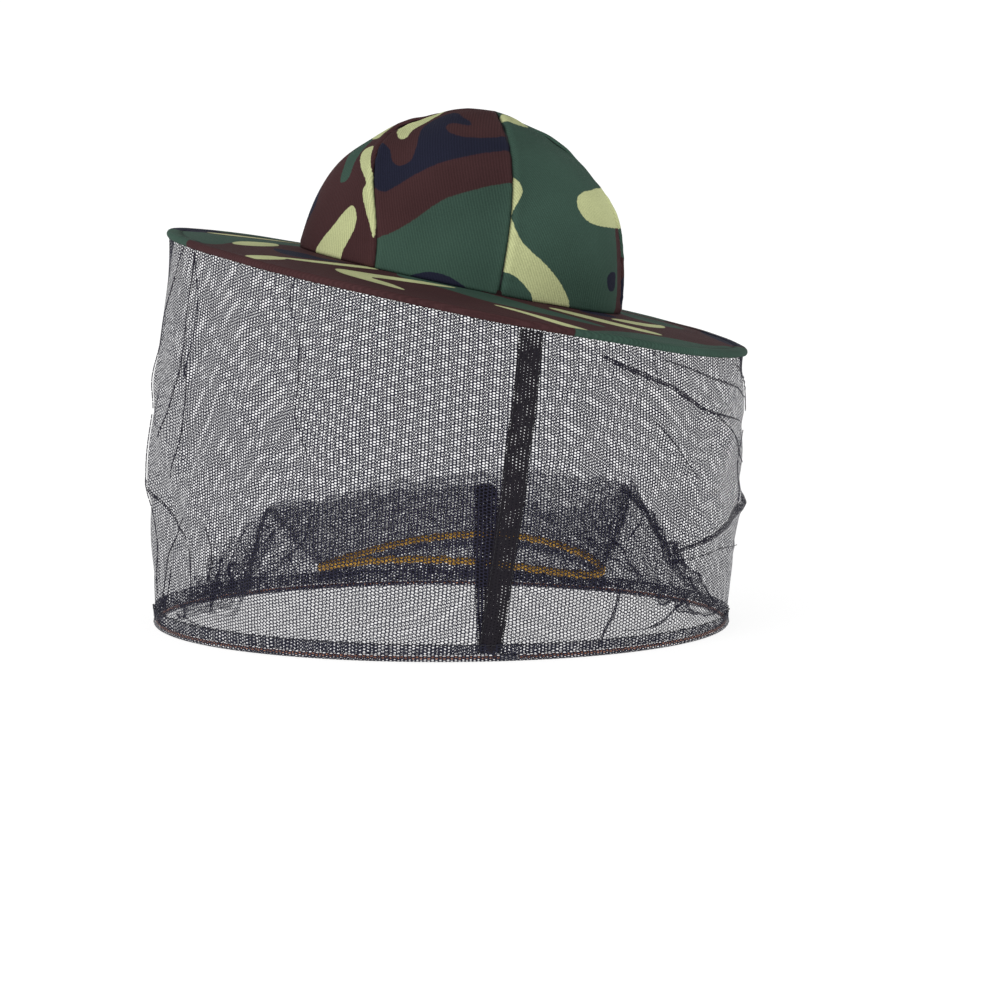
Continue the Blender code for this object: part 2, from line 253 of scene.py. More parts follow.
def printed_twill(name):
    """Brown, green, navy and lime printed on a twill whose ribs run steeply up to one side."""
    made, shade = new_finish(name)
    vector, across, along = shade.flat()
    rib = ((across * 0.94 + along * 0.34) * (2 * math.pi / 0.0016)).sine()
    cross = ((along * 0.94 - across * 0.34) * (2 * math.pi / 0.0008)).sine()
    slub = shade.noise(900, 3, vector)
    wobble = (shade.noise(420, 2, vector) - 0.5) * 0.0012
    colour = shade.field("green") + wobble
    colour = colour.rise(-0.0003, 0.0003).blend(BROWN, GREEN)
    for ink, shown in (("navy", NAVY), ("lime", LIME)):
        printed = (shade.field(ink) + wobble).rise(-0.0003, 0.0003)
        colour = printed.blend(colour, shown)
    fade = shade.noise(16, 3) * 0.9 + slub * 0.55 + rib * 0.13 + 0.34
    seam = shade.field("edge")
    worn = (1 - seam.rise(0.0012, 0.006)) * 0.16
    # Painted shade: sunk darkens the colour in the seam grooves, and by the edge field at the crown's foot
    # and the brim's root, where shade falls; the lighter band beside each seam (worn) is wear.
    sunk = seam.rise(0.0, 0.0011) * 0.72 + 0.28
    tone = (fade + worn) * sunk
    scale = shade.node("CombineXYZ", {}, {0: tone, 1: tone, 2: tone})
    colour = shade.node("VectorMath", {"operation": "MULTIPLY"}, {0: colour, 1: scale})
    height = rib * 0.5 + cross * 0.2 + slub * 0.8
    coat(made, {
        "Base Color": colour,
        "Roughness": 0.72 + slub * 0.2,
        "Specular IOR Level": 0.06,
        "Normal": shade.bump(height, 0.00022, 0.7),
    })
    return made


def around(angle, half_width, half_length):
    """Points on an oval, by the angle from the front through the wearer's left."""
    angle = np.asarray(angle, float)
    return np.stack([half_width * np.sin(angle), -half_length * np.cos(angle), 0 * angle], -1)


def seated(points):
    """From the hat's own level frame to how it sits on the head, front up and back down."""
    x, y, z = points[..., 0], points[..., 1], points[..., 2]
    up, back = math.cos(PITCH), math.sin(PITCH)
    return np.stack([x, y * up + z * back, z * up - y * back], -1)


def woven(name, points, flat, finish, closed=False, fields=None):
    """A cloth from a grid of points, rows from its top or inner edge outwards."""
    rows, columns = points.shape[:2]
    kept = columns - 1 if closed else columns
    number = np.arange(rows)[:, None] * kept + np.arange(columns)[None, :] % kept
    corners = [(slice(0, -1), slice(0, -1)), (slice(1, None), slice(0, -1)),
               (slice(1, None), slice(1, None)), (slice(0, -1), slice(1, None))]
    quads = np.stack([number[place] for place in corners], -1).reshape(-1, 4)
    mesh = bpy.data.meshes.new(name)
    mesh.from_pydata(points[:, :kept].reshape(-1, 3).tolist(), [], quads.tolist())
    layer = mesh.uv_layers.new(name="cloth")
    spread = np.stack([flat[place] for place in corners], -2).reshape(-1)
    layer.uv.foreach_set("vector", spread.astype(np.float32))
    for field, values in (fields or {}).items():
        attribute = mesh.attributes.new(field, "FLOAT", "POINT")
        attribute.data.foreach_set("value", values[:, :kept].reshape(-1).astype(np.float32))
    mesh.shade_smooth()
    mesh.materials.append(finish)
    return add_object(name, mesh)


def thicken(piece, thickness):
    """Gives a cloth its thickness, away from its outer side, as part of its mesh."""
    wall = piece.modifiers.new("thickness", "SOLIDIFY")
    wall.thickness = thickness
    wall.offset = -1
    graph = bpy.context.evaluated_depsgraph_get()
    solid = bpy.data.meshes.new_from_object(piece.evaluated_get(graph))
    piece.modifiers.clear()
    piece.data = solid
    return piece


def ripple(place, waves, seed, low, high):
    """A soft irregular wave, from a few sines whose counts lie between low and high."""
    dice = np.random.default_rng(seed)
    total = 0
    for _ in range(waves):
        total = total + np.sin(dice.integers(low, high + 1) * place + dice.uniform(0, 2 * np.pi))
    return total / math.sqrt(waves)


def wander(points, seed, reach, cover):
    """A smooth random depth over points, above 0 on about a share of them, in metres."""
    dice = np.random.default_rng(seed)
    total = 0
    for _ in range(16):
        wave = dice.normal(size=3)
        wave = wave / np.linalg.norm(wave) * dice.uniform(0.6, 1.4) * 2 * np.pi / reach
        total = total + np.cos(points @ wave + dice.uniform(0, 2 * np.pi))
    level = np.quantile(total, 1 - cover)
    return (total - level) * reach / (2 * np.pi) / math.sqrt(8)


def course(text):
    """Places written as degrees and hundredths of the way, as (degrees, share) rows."""
    return np.array([place.split() for place in text.split(",")], float) / (1, 100)


def shapes(angle, share, outlines, width, height):
    """How deep points lie inside printed shapes, each a closed course round the cloth.

    width and height are the metres that a radian and a whole share stand for.
    """
    spot = np.stack([angle * width, share * height], -1)
    depth = np.full(angle.shape, -1.0)
    for outline in outlines:
        corners = course(outline) * (math.radians(width), height)
        smooth = []
        for place in range(len(corners)):  # a soft curve through the corners
            a, b, c, d = (corners[(place + k) % len(corners)] for k in (-1, 0, 1, 2))
            for t in (0.0, 0.25, 0.5, 0.75):
                bend = (2 * a - 5 * b + 4 * c - d) * t**2 + (3 * b - a - 3 * c + d) * t**3
                smooth.append(b + 0.5 * ((c - a) * t + bend))
        away = np.full(angle.shape, 1.0)
        inside = np.zeros(angle.shape, bool)
        for start, end in zip(smooth, smooth[1:] + smooth[:1]):
            run = end - start
            gap = spot - start
            along = np.clip(gap @ run / max(run @ run, 1e-12), 0, 1)
            away = np.minimum(away, np.linalg.norm(gap - along[..., None] * run, axis=-1))
            above = (start[1] > spot[..., 1]) != (end[1] > spot[..., 1])
            rise = run[1] if abs(run[1]) > 1e-9 else 1e-9
            inside ^= above & (gap[..., 0] < run[0] * gap[..., 1] / rise)
        depth = np.maximum(depth, np.where(inside, away, -away))
    return depth


def spread_at(share):
    shoulder = np.maximum(1 - share**3, 0) ** 0.74
    return shoulder * (1 - 0.16 * share * (1 - share))


def crown_at(angle, share, inset=0.0):
    spread = spread_at(np.asarray(share, float))
    place = around(angle, (HALF_WIDTH - inset) * spread, (HALF_LENGTH - inset) * spread)
    place[..., 2] = CROWN_FOOT + (HEIGHT - inset) * share
    return place


# What is printed on each panel, as outlines from the crown's foot to its top.
PRINTS = {
    "front_left": {
        "ground": -1,
        "green": ["38 42, 31 52, 18 62, 14 72, 22 76, 30 66, 36 57, 42 46"],
        "navy": ["6 5, 18 10, 26 25, 18 38, 4 40, 8 22"],
        "lime": [
            "41 -2, 42 7, 46 17, 49 25, 53 31, 57 26, 58 18, 56 7, 54 -3",
            "36 60, 34 64, 39 66, 45 61, 56 49, 60 42, 65 30, 68 16, 64 24, 55 40, 55 45, 45 53",
            "14 72, 10 80, 24 80, 34 72, 26 70",
        ],
    },
    "side_left": {
        "ground": -1,
        "green": [
            "60 6, 68 15, 73 20, 80 30, 88 44, 94 50, 101 55, 108 59, 120 61, 124 30, 120 -6, 90 -8, 62 -8",
        ],
        "navy": [
            "36 62, 38 68, 52 66.5, 60 60, 65 59, 68 64, 63 74, 50 85, 46 93, 70 92, 84 89.5, 68 87.5, "
            "70 84, 80 82, 96 84, 122 88, 118 81, 98 75, 84 67, 74 56, 68 47, 64 42.5, 57 45, 48 53",
            "84 -2, 89 4, 95 5, 100 3, 104 -2",
        ],
        "lime": ["43 76, 51 73, 54 74.5, 49 80, 44 87, 30 93, 20 90, 32 82"],
    },
    "back_left": {
        "ground": 1,
        "brown": ["173 -3, 172 14, 172 33, 175 49, 188 50, 190 -5"],
        "navy": ["161 19, 164 23, 169 23, 168 14, 163 13"],
        "lime": [
            "112 67, 116 65, 119 60, 118.5 56, 115.5 47, 115.5 42, 120 31, 131 20, 139 9, 142 -2, 129 -3, "
            "126 4, 119 12, 110 16, 110 35, 112 55",
            "147 60, 152 64, 162 66.5, 172 68, 186 67, 192 56, 184 49, 168 48, 153 49, 147 54",
            "110 96, 126 95, 150 94.5, 176 95.5, 170 97.5, 130 98.5",
        ],
    },
    "back_right": {
        "ground": -1,
        "green": [
            "170 50, 186 48, 204 36, 222 30, 240 42, 252 40, 250 -6, 205 -6, 196 12, 184 30, 170 38",
            "176 78, 196 74, 220 80, 232 95, 180 96",
        ],
        "navy": [
            "206 52, 220 46, 238 56, 250 54, 250 68, 232 70, 214 64", "178 6, 188 4, 192 16, 182 22",
        ],
        "lime": [
            "174 67, 186 68, 196 60, 192 50, 180 48, 168 52",
            "214 4, 222 2, 232 14, 244 20, 240 28, 226 22",
        ],
    },
    "side_right": {
        "ground": 1,
        "green": [],
        "brown": ["236 30, 252 24, 270 36, 286 30, 300 42, 316 62, 300 80, 276 72, 258 54, 240 52"],
        "navy": [
            "262 -5, 268 10, 282 16, 296 6, 296 -6", "244 70, 262 74, 280 86, 262 92, 242 84",
        ],
        "lime": [
            "248 10, 256 6, 260 16, 256 30, 250 26", "282 50, 292 46, 300 56, 294 68, 285 62",
        ],
    },
    "front_right": {
        "ground": -1,
        "green": [
            "284 30, 300 38, 316 30, 330 12, 344 -5, 284 -6", "330 62, 346 52, 364 56, 364 76, 340 80",
        ],
        "navy": [
            "298 52, 314 46, 326 54, 318 68, 300 64", "350 10, 358 5, 366 12, 366 30, 354 26",
        ],
        "lime": [
            "322 20, 330 16, 338 28, 336 42, 328 36", "304 2, 314 0, 318 10, 310 14",
        ],
    },
}
# Each panel lies between two seams: degrees at the foot, and degrees gained by the top.
SEAM_CURVE = 1.8
SEAMS = {
    "front_left": ((0, 0), (71, -55)),
    "side_left": ((71, -55), (115, 0)),
    "back_left": ((115, 0), (180, 0)),
    "back_right": ((180, 0), (245, 0)),
    "side_right": ((245, 0), (289, 55)),
    "front_right": ((289, 55), (360, 0)),
}
cotton = printed_twill("camouflage_twill")
ROWS, COLUMNS = 100, 84
steps = np.linspace(0, 1, ROWS)
shares = 1 - (1 - steps) ** 1.7
for seed, (name, (low, high)) in enumerate(SEAMS.items()):
    share = np.repeat(shares[::-1, None], COLUMNS, 1)
    across = np.repeat((1 - np.cos(np.pi * np.linspace(0, 1, COLUMNS)))[None, :] / 2, ROWS, 0)
    first = np.radians(low[0] + low[1] * share**SEAM_CURVE)
    last = np.radians(high[0] + high[1] * share**SEAM_CURVE)
    angle = first + (last - first) * across
    smooth = crown_at(angle, share)
    girth = (HALF_WIDTH + HALF_LENGTH) / 2 * spread_at(share)
    seam = np.minimum(angle - first, last - angle) * girth
    out = smooth / np.array([HALF_WIDTH, HALF_LENGTH, HEIGHT]) ** 2
    out = out / np.linalg.norm(out, axis=-1, keepdims=True)
    soft = wander(smooth, 30 + seed, 0.055, 0.5) * 0.075
    pucker = ripple(share * 2 * np.pi, 4, 50 + seed, 9, 17) * 0.00035 * np.exp(-seam / 0.006)
    groove = -0.0013 * np.exp(-((seam / 0.0013) ** 2))
    groove = groove + 0.0005 * np.exp(-(((seam - 0.004) / 0.0025) ** 2))
    foot = -0.0012 * np.exp(-((share * HEIGHT / 0.002) ** 2))
    calm = np.minimum(1, spread_at(share) * 6)
    points = smooth + out * ((soft + pucker + groove + foot) * calm)[..., None]
    middle = math.radians((low[0] + high[0]) / 2)
    flat = np.stack([(angle - middle) * girth, share * HEIGHT * 1.25], -1)
    inks = PRINTS[name]
    depth = {ink: shapes(angle, share, inks.get(ink, []), *PANEL_PRINT)
             for ink in ("green", "brown", "navy", "lime")}
    green = np.maximum(depth["green"], 0.02 * inks["ground"])
    fields = {"green": np.minimum(green, -depth["brown"]), "navy": depth["navy"], "lime": depth["lime"]}
    # edge: distance to the nearest seam or to the foot; where it is small the finish paints shade, and a
    # little further out wear.
    fields["edge"] = np.minimum(seam, share * HEIGHT + 0.0004)
    panel = woven("crown_panel_" + name, seated(points), flat, cotton, fields=fields)
    thicken(panel, PANEL_THICKNESS)
    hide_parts("crown_" + name)
    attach(panel, "hat")

# Brim: two plies of the same cloth with a stiffener between them, turned over a spring wire
# at the rim and topstitched underneath, where the net is sewn on.
BRIM_RADIUS = (brim_high.x - brim_low.x) / 2
BRIM_HALF = 0.0014  # half the thickness of the two plies and the stiffener
BRIM_DROP = 0.006
BRIM_PLY = 0.0007
RIM_ROLL = 0.0023  # radius of the cloth turned over the wire


def brim_at(angle, share, inward=0.0, above=0.0):
    inner = around(angle, HALF_WIDTH - PANEL_THICKNESS, HALF_LENGTH - PANEL_THICKNESS)
    outer = around(angle, BRIM_RADIUS, BRIM_RADIUS)
    width = np.linalg.norm(outer - inner, axis=-1)
    share = share - inward / width
    place = inner + (outer - inner) * share[..., None]
    place[..., 2] = above - BRIM_DROP * share
    return place


# The brim's print, as outlines from the crown out to the rim.
BRIM_LIME = [
    "56 60, 57 86, 61 90, 60 60", "57 54, 59 56, 66 28, 73 2, 68 0, 61 26",
    "71 42, 75 56, 83 64, 92 70, 88 56, 81 44, 92 22, 101 6, 90 10, 78 28",
    "111 50, 118 66, 125 90, 129 88, 123 66, 116 52",
    "130 16, 136 30, 146 46, 157 60, 158 50, 150 34, 142 20, 134 12",
    "154 20, 164 32, 180 36, 188 32, 174 24, 162 16", "246 30, 252 66, 266 72, 262 44",
    "292 82, 306 72, 310 36, 300 46", "338 20, 346 50, 362 78, 364 60, 352 30",
    "18 20, 26 46, 37 60, 36 40, 28 20",
]
BRIM_GREEN = [
    "-8 0, 0 34, 8 62, 6 110, 36 110, 42 80, 30 50, 20 20, 14 -5",
    "80 -5, 84 12, 98 22, 110 40, 126 50, 138 62, 134 40, 124 20, 112 2, 96 -5",
    "128 110, 132 84, 144 66, 158 66, 168 80, 182 86, 186 110",
    "184 6, 190 34, 208 60, 216 42, 212 10, 198 -4", "232 110, 240 70, 258 74, 276 60, 272 90, 262 110",
    "274 0, 284 46, 306 36, 306 0", "312 110, 322 62, 342 68, 346 110",
]
BRIM_NAVY = [
    "62 6, 54 14, 44 16, 38 30, 52 40, 58 24", "146 2, 152 12, 164 10, 160 -3",
    "188 90, 198 76, 212 80, 218 108, 196 106", "224 16, 232 40, 246 34, 254 6, 238 4",
    "284 108, 292 78, 306 88, 306 108", "308 56, 320 58, 336 30, 326 10, 318 30",
    "348 108, 354 76, 370 80, 374 108",
]


def brim_lift(turn, share):
    """The slight wave that the wired rim holds, growing outwards from the crown."""
    slow = ripple(turn, 5, 7, 3, 9) * 0.00016
    return slow * share**2 + ripple(turn, 4, 8, 14, 26) * 0.00006 * share


def brim_cloth(name, outline, replaced, finish):
    """A ring of cloth through an outline of (share of the brim's width, inward, above)."""
    turn = full_turn(480)
    rows = []
    for share, inward, above in outline:
        row = brim_at(turn, np.full(turn.shape, float(share)), inward, above)
        row[:, 2] += brim_lift(turn, share)
        rows.append(row)
    points = np.array(rows)
    share = np.array([place[0] for place in outline])[:, None] + 0 * turn
    angle = turn + 0 * share
    lime, green, navy = (
        np.max([shapes(angle + lap * 2 * np.pi, share, lines, *BRIM_PRINT) for lap in (-1, 0, 1)], axis=0)
        for lines in (BRIM_LIME, BRIM_GREEN, BRIM_NAVY))
    # edge grows from the crown outwards, so the finish paints shade on the brim where it meets the crown
    # and on the allowance turned up inside it.
    fields = {"green": green, "navy": navy, "lime": lime, "edge": share * 0.08 + 0.0002}
    flat = points[..., :2]
    ply = woven(name, seated(points), flat, finish, True, fields)
    thicken(ply, BRIM_PLY)
    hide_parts(replaced)
    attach(ply, "hat")


# The upper ply starts with its seam allowance, turned up inside the crown, and ends rolled
# under the rim, where the lower ply begins.
top_outline = [(-0.009, 0.0, 0.0042), (-0.008, 0.0, 0.0024)]
top_outline += [(share, 0.0, BRIM_HALF) for share in np.linspace(-0.004, 0.9, 38)]
top_outline.append((1, 4 * RIM_ROLL, BRIM_HALF))
top_outline.append((1, 2.2 * RIM_ROLL, BRIM_HALF + 0.25 * RIM_ROLL))
for degrees in (90, 68, 45, 22, 0, -24, -48, -70):
    bend = math.radians(degrees)
    top_outline.append((1, RIM_ROLL - RIM_ROLL * math.cos(bend), RIM_ROLL * math.sin(bend)))
under_outline = [(1, RIM_ROLL, -RIM_ROLL), (1, 1.6 * RIM_ROLL, -RIM_ROLL)]
under_outline.append((1, 4 * RIM_ROLL, -BRIM_HALF))
under_outline += [(share, 0.0, -BRIM_HALF) for share in np.linspace(0.9, 0, 38)]
brim_cloth("brim_cover", top_outline, "brim_top_ply", cotton)
brim_cloth("brim_lining", under_outline, "brim_under_ply", cotton)

thread, shade = new_finish("black_thread")
twist = shade.noise(4000, 3)
coat(thread, {"Base Color": twist.blend((0.008, 0.008, 0.010, 1), (0.040, 0.040, 0.046, 1)),
              "Roughness": 0.6 + twist * 0.3,
              "Specular IOR Level": 0.2, "Normal": shade.bump(twist, 0.00008)})


def stitch_rule():
    """Stitches along a line: one short rounded bar at each pitch, turned to follow it."""
    rule = bpy.data.node_groups.new("stitch_rule", "GeometryNodeTree")
    face = rule.interface
    face.new_socket("Line", in_out="INPUT", socket_type="NodeSocketGeometry")
    for size in ("Pitch", "Length", "Thickness"):
        face.new_socket(size, in_out="INPUT", socket_type="NodeSocketFloat")
    face.new_socket("Thread", in_out="INPUT", socket_type="NodeSocketMaterial")
    face.new_socket("Stitches", in_out="OUTPUT", socket_type="NodeSocketGeometry")

    def add(kind, values, **settings):
        made = rule.nodes.new(kind)
        for setting, value in settings.items():
            setattr(made, setting, value)
        for place, value in values.items():
            if isinstance(value, bpy.types.NodeSocket):
                rule.links.new(value, made.inputs[place])
            else:
                made.inputs[place].default_value = value
        return made

    given = rule.nodes.new("NodeGroupInput").outputs
    line = add("GeometryNodeMeshToCurve", {"Mesh": given["Line"]})
    points = add("GeometryNodeCurveToPoints", {"Curve": line.outputs["Curve"], "Length": given["Pitch"]},
                 mode="LENGTH")
    bar = add("GeometryNodeMeshUVSphere", {"Segments": 6, "Rings": 5, "Radius": 0.5})
    varied = add("FunctionNodeRandomValue", {2: 0.85, 3: 1.1, "Seed": 5}, data_type="FLOAT")
    long = add("ShaderNodeMath", {0: given["Length"], 1: varied.outputs[1]}, operation="MULTIPLY")
    sizes = add("ShaderNodeCombineXYZ", {0: given["Thickness"], 1: given["Thickness"], 2: long.outputs[0]})
    placed = add("GeometryNodeInstanceOnPoints", {"Points": points.outputs["Points"],
                                                  "Instance": bar.outputs["Mesh"],
                                                  "Rotation": points.outputs["Rotation"],
                                                  "Scale": sizes.outputs[0]})
    real = add("GeometryNodeRealizeInstances", {"Geometry": placed.outputs[0]})
    dressed = add("GeometryNodeSetMaterial", {"Geometry": real.outputs[0], "Material": given["Thread"]})
    rule.links.new(dressed.outputs[0], rule.nodes.new("NodeGroupOutput").inputs["Stitches"])
    return rule


STITCHES = stitch_rule()


def stitched(name, lines, pitch, length, thickness):
    """A run of stitches along each line of points, as one mesh."""
    guide = bpy.data.meshes.new(name)
    edges, first = [], 0
    for line in lines:
        edges += [(first + place, first + place + 1) for place in range(len(line) - 1)]
        first += len(line)
    guide.from_pydata(np.concatenate(lines).tolist(), edges, [])
    run = add_object(name, guide)
    maker = run.modifiers.new("stitches", "NODES")
    maker.node_group = STITCHES
    given = {"Pitch": pitch, "Length": length, "Thickness": thickness, "Thread": thread}
    for socket in STITCHES.interface.items_tree:
        if socket.in_out == "INPUT" and socket.name in given:
            maker[socket.identifier] = given[socket.name]
    graph = bpy.context.evaluated_depsgraph_get()
    sewn = bpy.data.meshes.new_from_object(run.evaluated_get(graph))
    run.modifiers.clear()
    run.data = sewn
    return run


turn = full_turn(360)
rim_line = brim_at(turn, np.ones(turn.shape), 4.6 * RIM_ROLL, -BRIM_HALF - 0.0003)
rim_line[:, 2] += brim_lift(turn, 0.95)
rim_stitches = stitched("rim_stitches", [seated(rim_line)], 0.0031, 0.0025, 0.0005)
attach(rim_stitches, "hat")

felt, shade = new_finish("stiffener")
fibre = shade.noise(1500, 4)
coat(felt, {"Base Color": fibre.blend((0.50, 0.50, 0.46, 1), (0.66, 0.66, 0.62, 1)), "Roughness": 0.92,
            "Normal": shade.bump(fibre, 0.0002)})


def dress(node, finish):
    """Gives a part that's shown as it was modelled its own finish."""
    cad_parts[node].data.materials.clear()
    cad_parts[node].data.materials.append(finish)


def drawn_wire(name, low, high, rough):
    """Drawn wire: fine scratches along it and a dull patch here and there."""
    made, shade = new_finish(name)
    scratch = shade.noise(2600, 4)
    stain = shade.noise(60, 3)
    coat(made, {"Base Color": stain.blend(low, high), "Metallic": 1.0, "Roughness": rough + scratch * 0.2,
                "Normal": shade.bump(scratch, 0.00004)})
    return made


steel = drawn_wire("spring_steel", (0.36, 0.36, 0.38, 1), (0.62, 0.62, 0.64, 1), 0.22)
crimp = drawn_wire("crimped_sleeve", (0.34, 0.34, 0.35, 1), (0.52, 0.52, 0.53, 1), 0.3)
copper = drawn_wire("copper_plated_wire", (0.50, 0.22, 0.13, 1), (0.78, 0.42, 0.30, 1), 0.22)
dress("brim_interlining", felt)
dress("brim_hoop", steel)
dress("brim_hoop_ferrule", crimp)
dress("lower_hoop_ferrule", crimp)
dress("lower_hoop", copper)

# Inside the crown: black tapes bind the six seams, and a ribbed sweatband is sewn round the
# head opening.
binding, shade = new_finish("seam_binding")
vector, across, along = shade.flat()
rib = ((across - along * 0.2) * (2 * math.pi / 0.0009)).sine()
lint = shade.noise(1400, 3, vector)
coat(binding, {"Base Color": lint.blend((0.010, 0.010, 0.012, 1), (0.035, 0.035, 0.038, 1)),
               "Roughness": 0.7 + lint * 0.2, "Specular IOR Level": 0.1,
               "Normal": shade.bump(rib * 0.5 + lint, 0.0002)})
BINDING_HALF = 0.005
for name, (low, high) in SEAMS.items():
    share = np.repeat(shares[::-2, None][:-1], 9, 1)
    side = np.repeat(np.linspace(-1, 1, 9)[None, :], share.shape[0], 0)
    girth = np.maximum(HALF_WIDTH * spread_at(share), 0.010)
    narrowed = np.minimum(1, 2.5 * spread_at(share))
    angle = np.radians(low[0] + low[1] * share**SEAM_CURVE) + side * BINDING_HALF / girth * narrowed
    points = crown_at(angle, share, 0.0017 + 0.0002 * side**2)
    flat = np.stack([side * BINDING_HALF, share * HEIGHT * 1.25], -1)
    tape = woven("crown_binding_" + name, seated(points), flat, binding)
    thicken(tape, 0.0005)
    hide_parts("crown_tape_" + name)
    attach(tape, "hat")

ribbon, shade = new_finish("ribbed_sweatband")
vector, across, along = shade.flat()
rib = (across * (2 * math.pi / 0.0016)).sine()
lint = shade.noise(900, 3, vector)
coat(ribbon, {"Base Color": (lint + rib * 0.1).blend((0.014, 0.014, 0.016, 1), (0.055, 0.055, 0.058, 1)),
              "Roughness": 0.66 + lint * 0.25, "Normal": shade.bump(rib * 0.7 + lint * 0.6, 0.0003)})
turn = full_turn(480)
BAND_INSET = 0.0034
rows = []
for height in np.linspace(0.0275, -0.0012, 22):
    share = np.full(turn.shape, max(height, 0) / HEIGHT)
    row = crown_at(turn, share, BAND_INSET)
    row[:, 2] = CROWN_FOOT + height
    piping = 0.0005 * math.exp(-(((height - 0.0262) / 0.0012) ** 2))
    row[:, :2] *= 1 - (0.0003 * np.sin(turn * 90) + piping)[:, None] / 0.09 if height > 0.02 else 1
    rows.append(row)
points = np.array(rows)
flat = np.stack([np.repeat(turn[None, :], len(rows), 0) * 0.092, points[..., 2]], -1)
band = woven("sweatband_ribbon", seated(points), flat, ribbon, True)
thicken(band, 0.0011)
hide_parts("sweatband")
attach(band, "hat")

lines = []
for height in (0.0022, 0.0238):
    line = crown_at(turn, np.full(turn.shape, height / HEIGHT), BAND_INSET + 0.0012)
    line[:, 2] = CROWN_FOOT + height
    lines.append(seated(line))
band_stitches = stitched("sweatband_stitches", lines, 0.0032, 0.0026, 0.0005)
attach(band_stitches, "hat")


def netting(name, thread, dark, light, gauge=1.0):
    """Knitted tulle: six-sided holes, thread wide apart, with no thread drawn between."""
    made, shade = new_finish(name)
    vector, across, along = shade.flat()
    period = 0.0019 * gauge
    column = 0.00226 * gauge
    sway = shade.node("TexNoise", {}, {"Vector": vector, "Scale": 55.0, "Detail": 1.0}, 0) - 0.5
    side = (across + sway * 0.0012) * (math.sqrt(3) / 2 * period / column)
    down = along + sway * 0.0009
    wide = math.sqrt(3) * period
    reach = None
    for shift in (0.0, 0.5):
        dx = abs((side + shift * wide) % wide - wide / 2)
        dy = abs((down + shift * period) % period - period / 2)
        hexagon = dy | (dx * (math.sqrt(3) / 2) + dy * 0.5)
        reach = hexagon if reach is None else reach & hexagon
    off = period / 2 - reach
    uneven = shade.noise(700, 2, vector) * 0.0002 + (thread / 2 - 0.0001)
    cover = 1 - (off - uneven).rise(-0.00004, 0.00004)
    fuzz = shade.noise(1800, 2, vector)
    coat(made, {"Base Color": fuzz.blend(dark, light), "Roughness": 0.6 + fuzz * 0.2, "Alpha": cover,
                "Specular IOR Level": 0.12,
                "Normal": shade.bump(1 - off * (1 / period), 0.0002)})
    return made


# Net wall: one strip of black six-sided tulle, joined at one seam, gathered a little under the
# rim and hanging in soft folds and pressed creases down to the hoop.
net = netting("black_tulle", 0.00054, (0.009, 0.009, 0.018, 1), (0.024, 0.023, 0.044, 1))
skirt_net = netting("skirt_tulle", 0.00028, (0.009, 0.009, 0.013, 1), (0.024, 0.023, 0.031, 1))
HOOP_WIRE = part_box("lower_hoop")
HOOP_CENTRE = np.array((HOOP_WIRE[0] + HOOP_WIRE[1]) / 2)
HOOP_CENTRE[2] = (hoop_low.z + hoop_high.z) / 2
HOOP_CENTRE[0] = 0.0
CASING = (hoop_high.z - hoop_low.z) / 2
HOOP_RADIUS = (hoop_high.x - hoop_low.x) / 2 - CASING
WALL_HEIGHT = 0.2


def wall_at(angle, share, outward=0.0):
    angle, share = np.asarray(angle, float), np.asarray(share, float)
    top = seated(brim_at(angle, np.ones(angle.shape), 1.5 * RIM_ROLL, -RIM_ROLL - 0.0003))
    bottom = HOOP_CENTRE + around(angle, HOOP_RADIUS, HOOP_RADIUS)
    bottom[..., 2] += CASING * 0.8
    front = np.clip(np.cos(angle - math.radians(20)), 0, 1)
    bulge = (0.0048 + 0.0022 * front) * np.sin(np.pi * share) * (1 - 0.25 * share)
    out = around(angle, 1, 1) * (outward + bulge)[..., None]
    return top + (bottom - top) * share[..., None] + out


# Each crease's course down the wall, and its fold's half width in mm where it starts and ends.
WALL_CREASES = [
    ("44.2 0, 44.6 16, 43.8 31, 40 41, 36.9 50", 0.9, 0.5), ("45 28, 46 38, 44 48, 41 60", 0.5, 0.5),
    ("38 0, 33 16, 29 30, 26 44", 1.3, 0.6), ("23 46, 28.5 62, 38 68, 47.5 75", 0.9, 0.9),
    ("46 69, 38 82, 33 95", 0.5, 0.6), ("48 76, 48.5 87", 0.4, 0.4), ("54 70, 56 78, 53 88", 0.4, 0.4),
    ("40 83, 35 96", 0.5, 0.6), ("30 62, 33 74, 30 92", 0.4, 0.5),
    ("75 15, 75.5 26, 76 37, 79 46", 0.6, 0.4),
    ("131 4.5, 136 7, 147 11.5, 154 16, 161 20, 176 23.5", 2.6, 0.9),
    ("146 3, 152 4.5, 163 8, 175 11.5, 187 16", 0.7, 0.9), ("143 24, 150 33, 156 43", 0.5, 0.4),
    ("161 20, 171 30, 183 40", 0.9, 0.5), ("173 2, 181 6, 190 14, 193 22", 1.2, 1),
    ("150 69, 161 64.5, 172 60, 182 56.5, 193 53.5", 1.4, 6.5), ("152 72, 166 70, 182 71", 0.5, 0.4),
    ("196 30, 199 46, 195 62", 0.8, 0.6), ("232 0, 236 12, 234 24", 0.5, 0.3),
    ("318 0, 322 14, 319 26", 0.5, 0.3), ("354 6, 350 22, 353 40", 0.7, 0.5),
]
METRES_A_DEGREE = math.radians(1) * HOOP_RADIUS


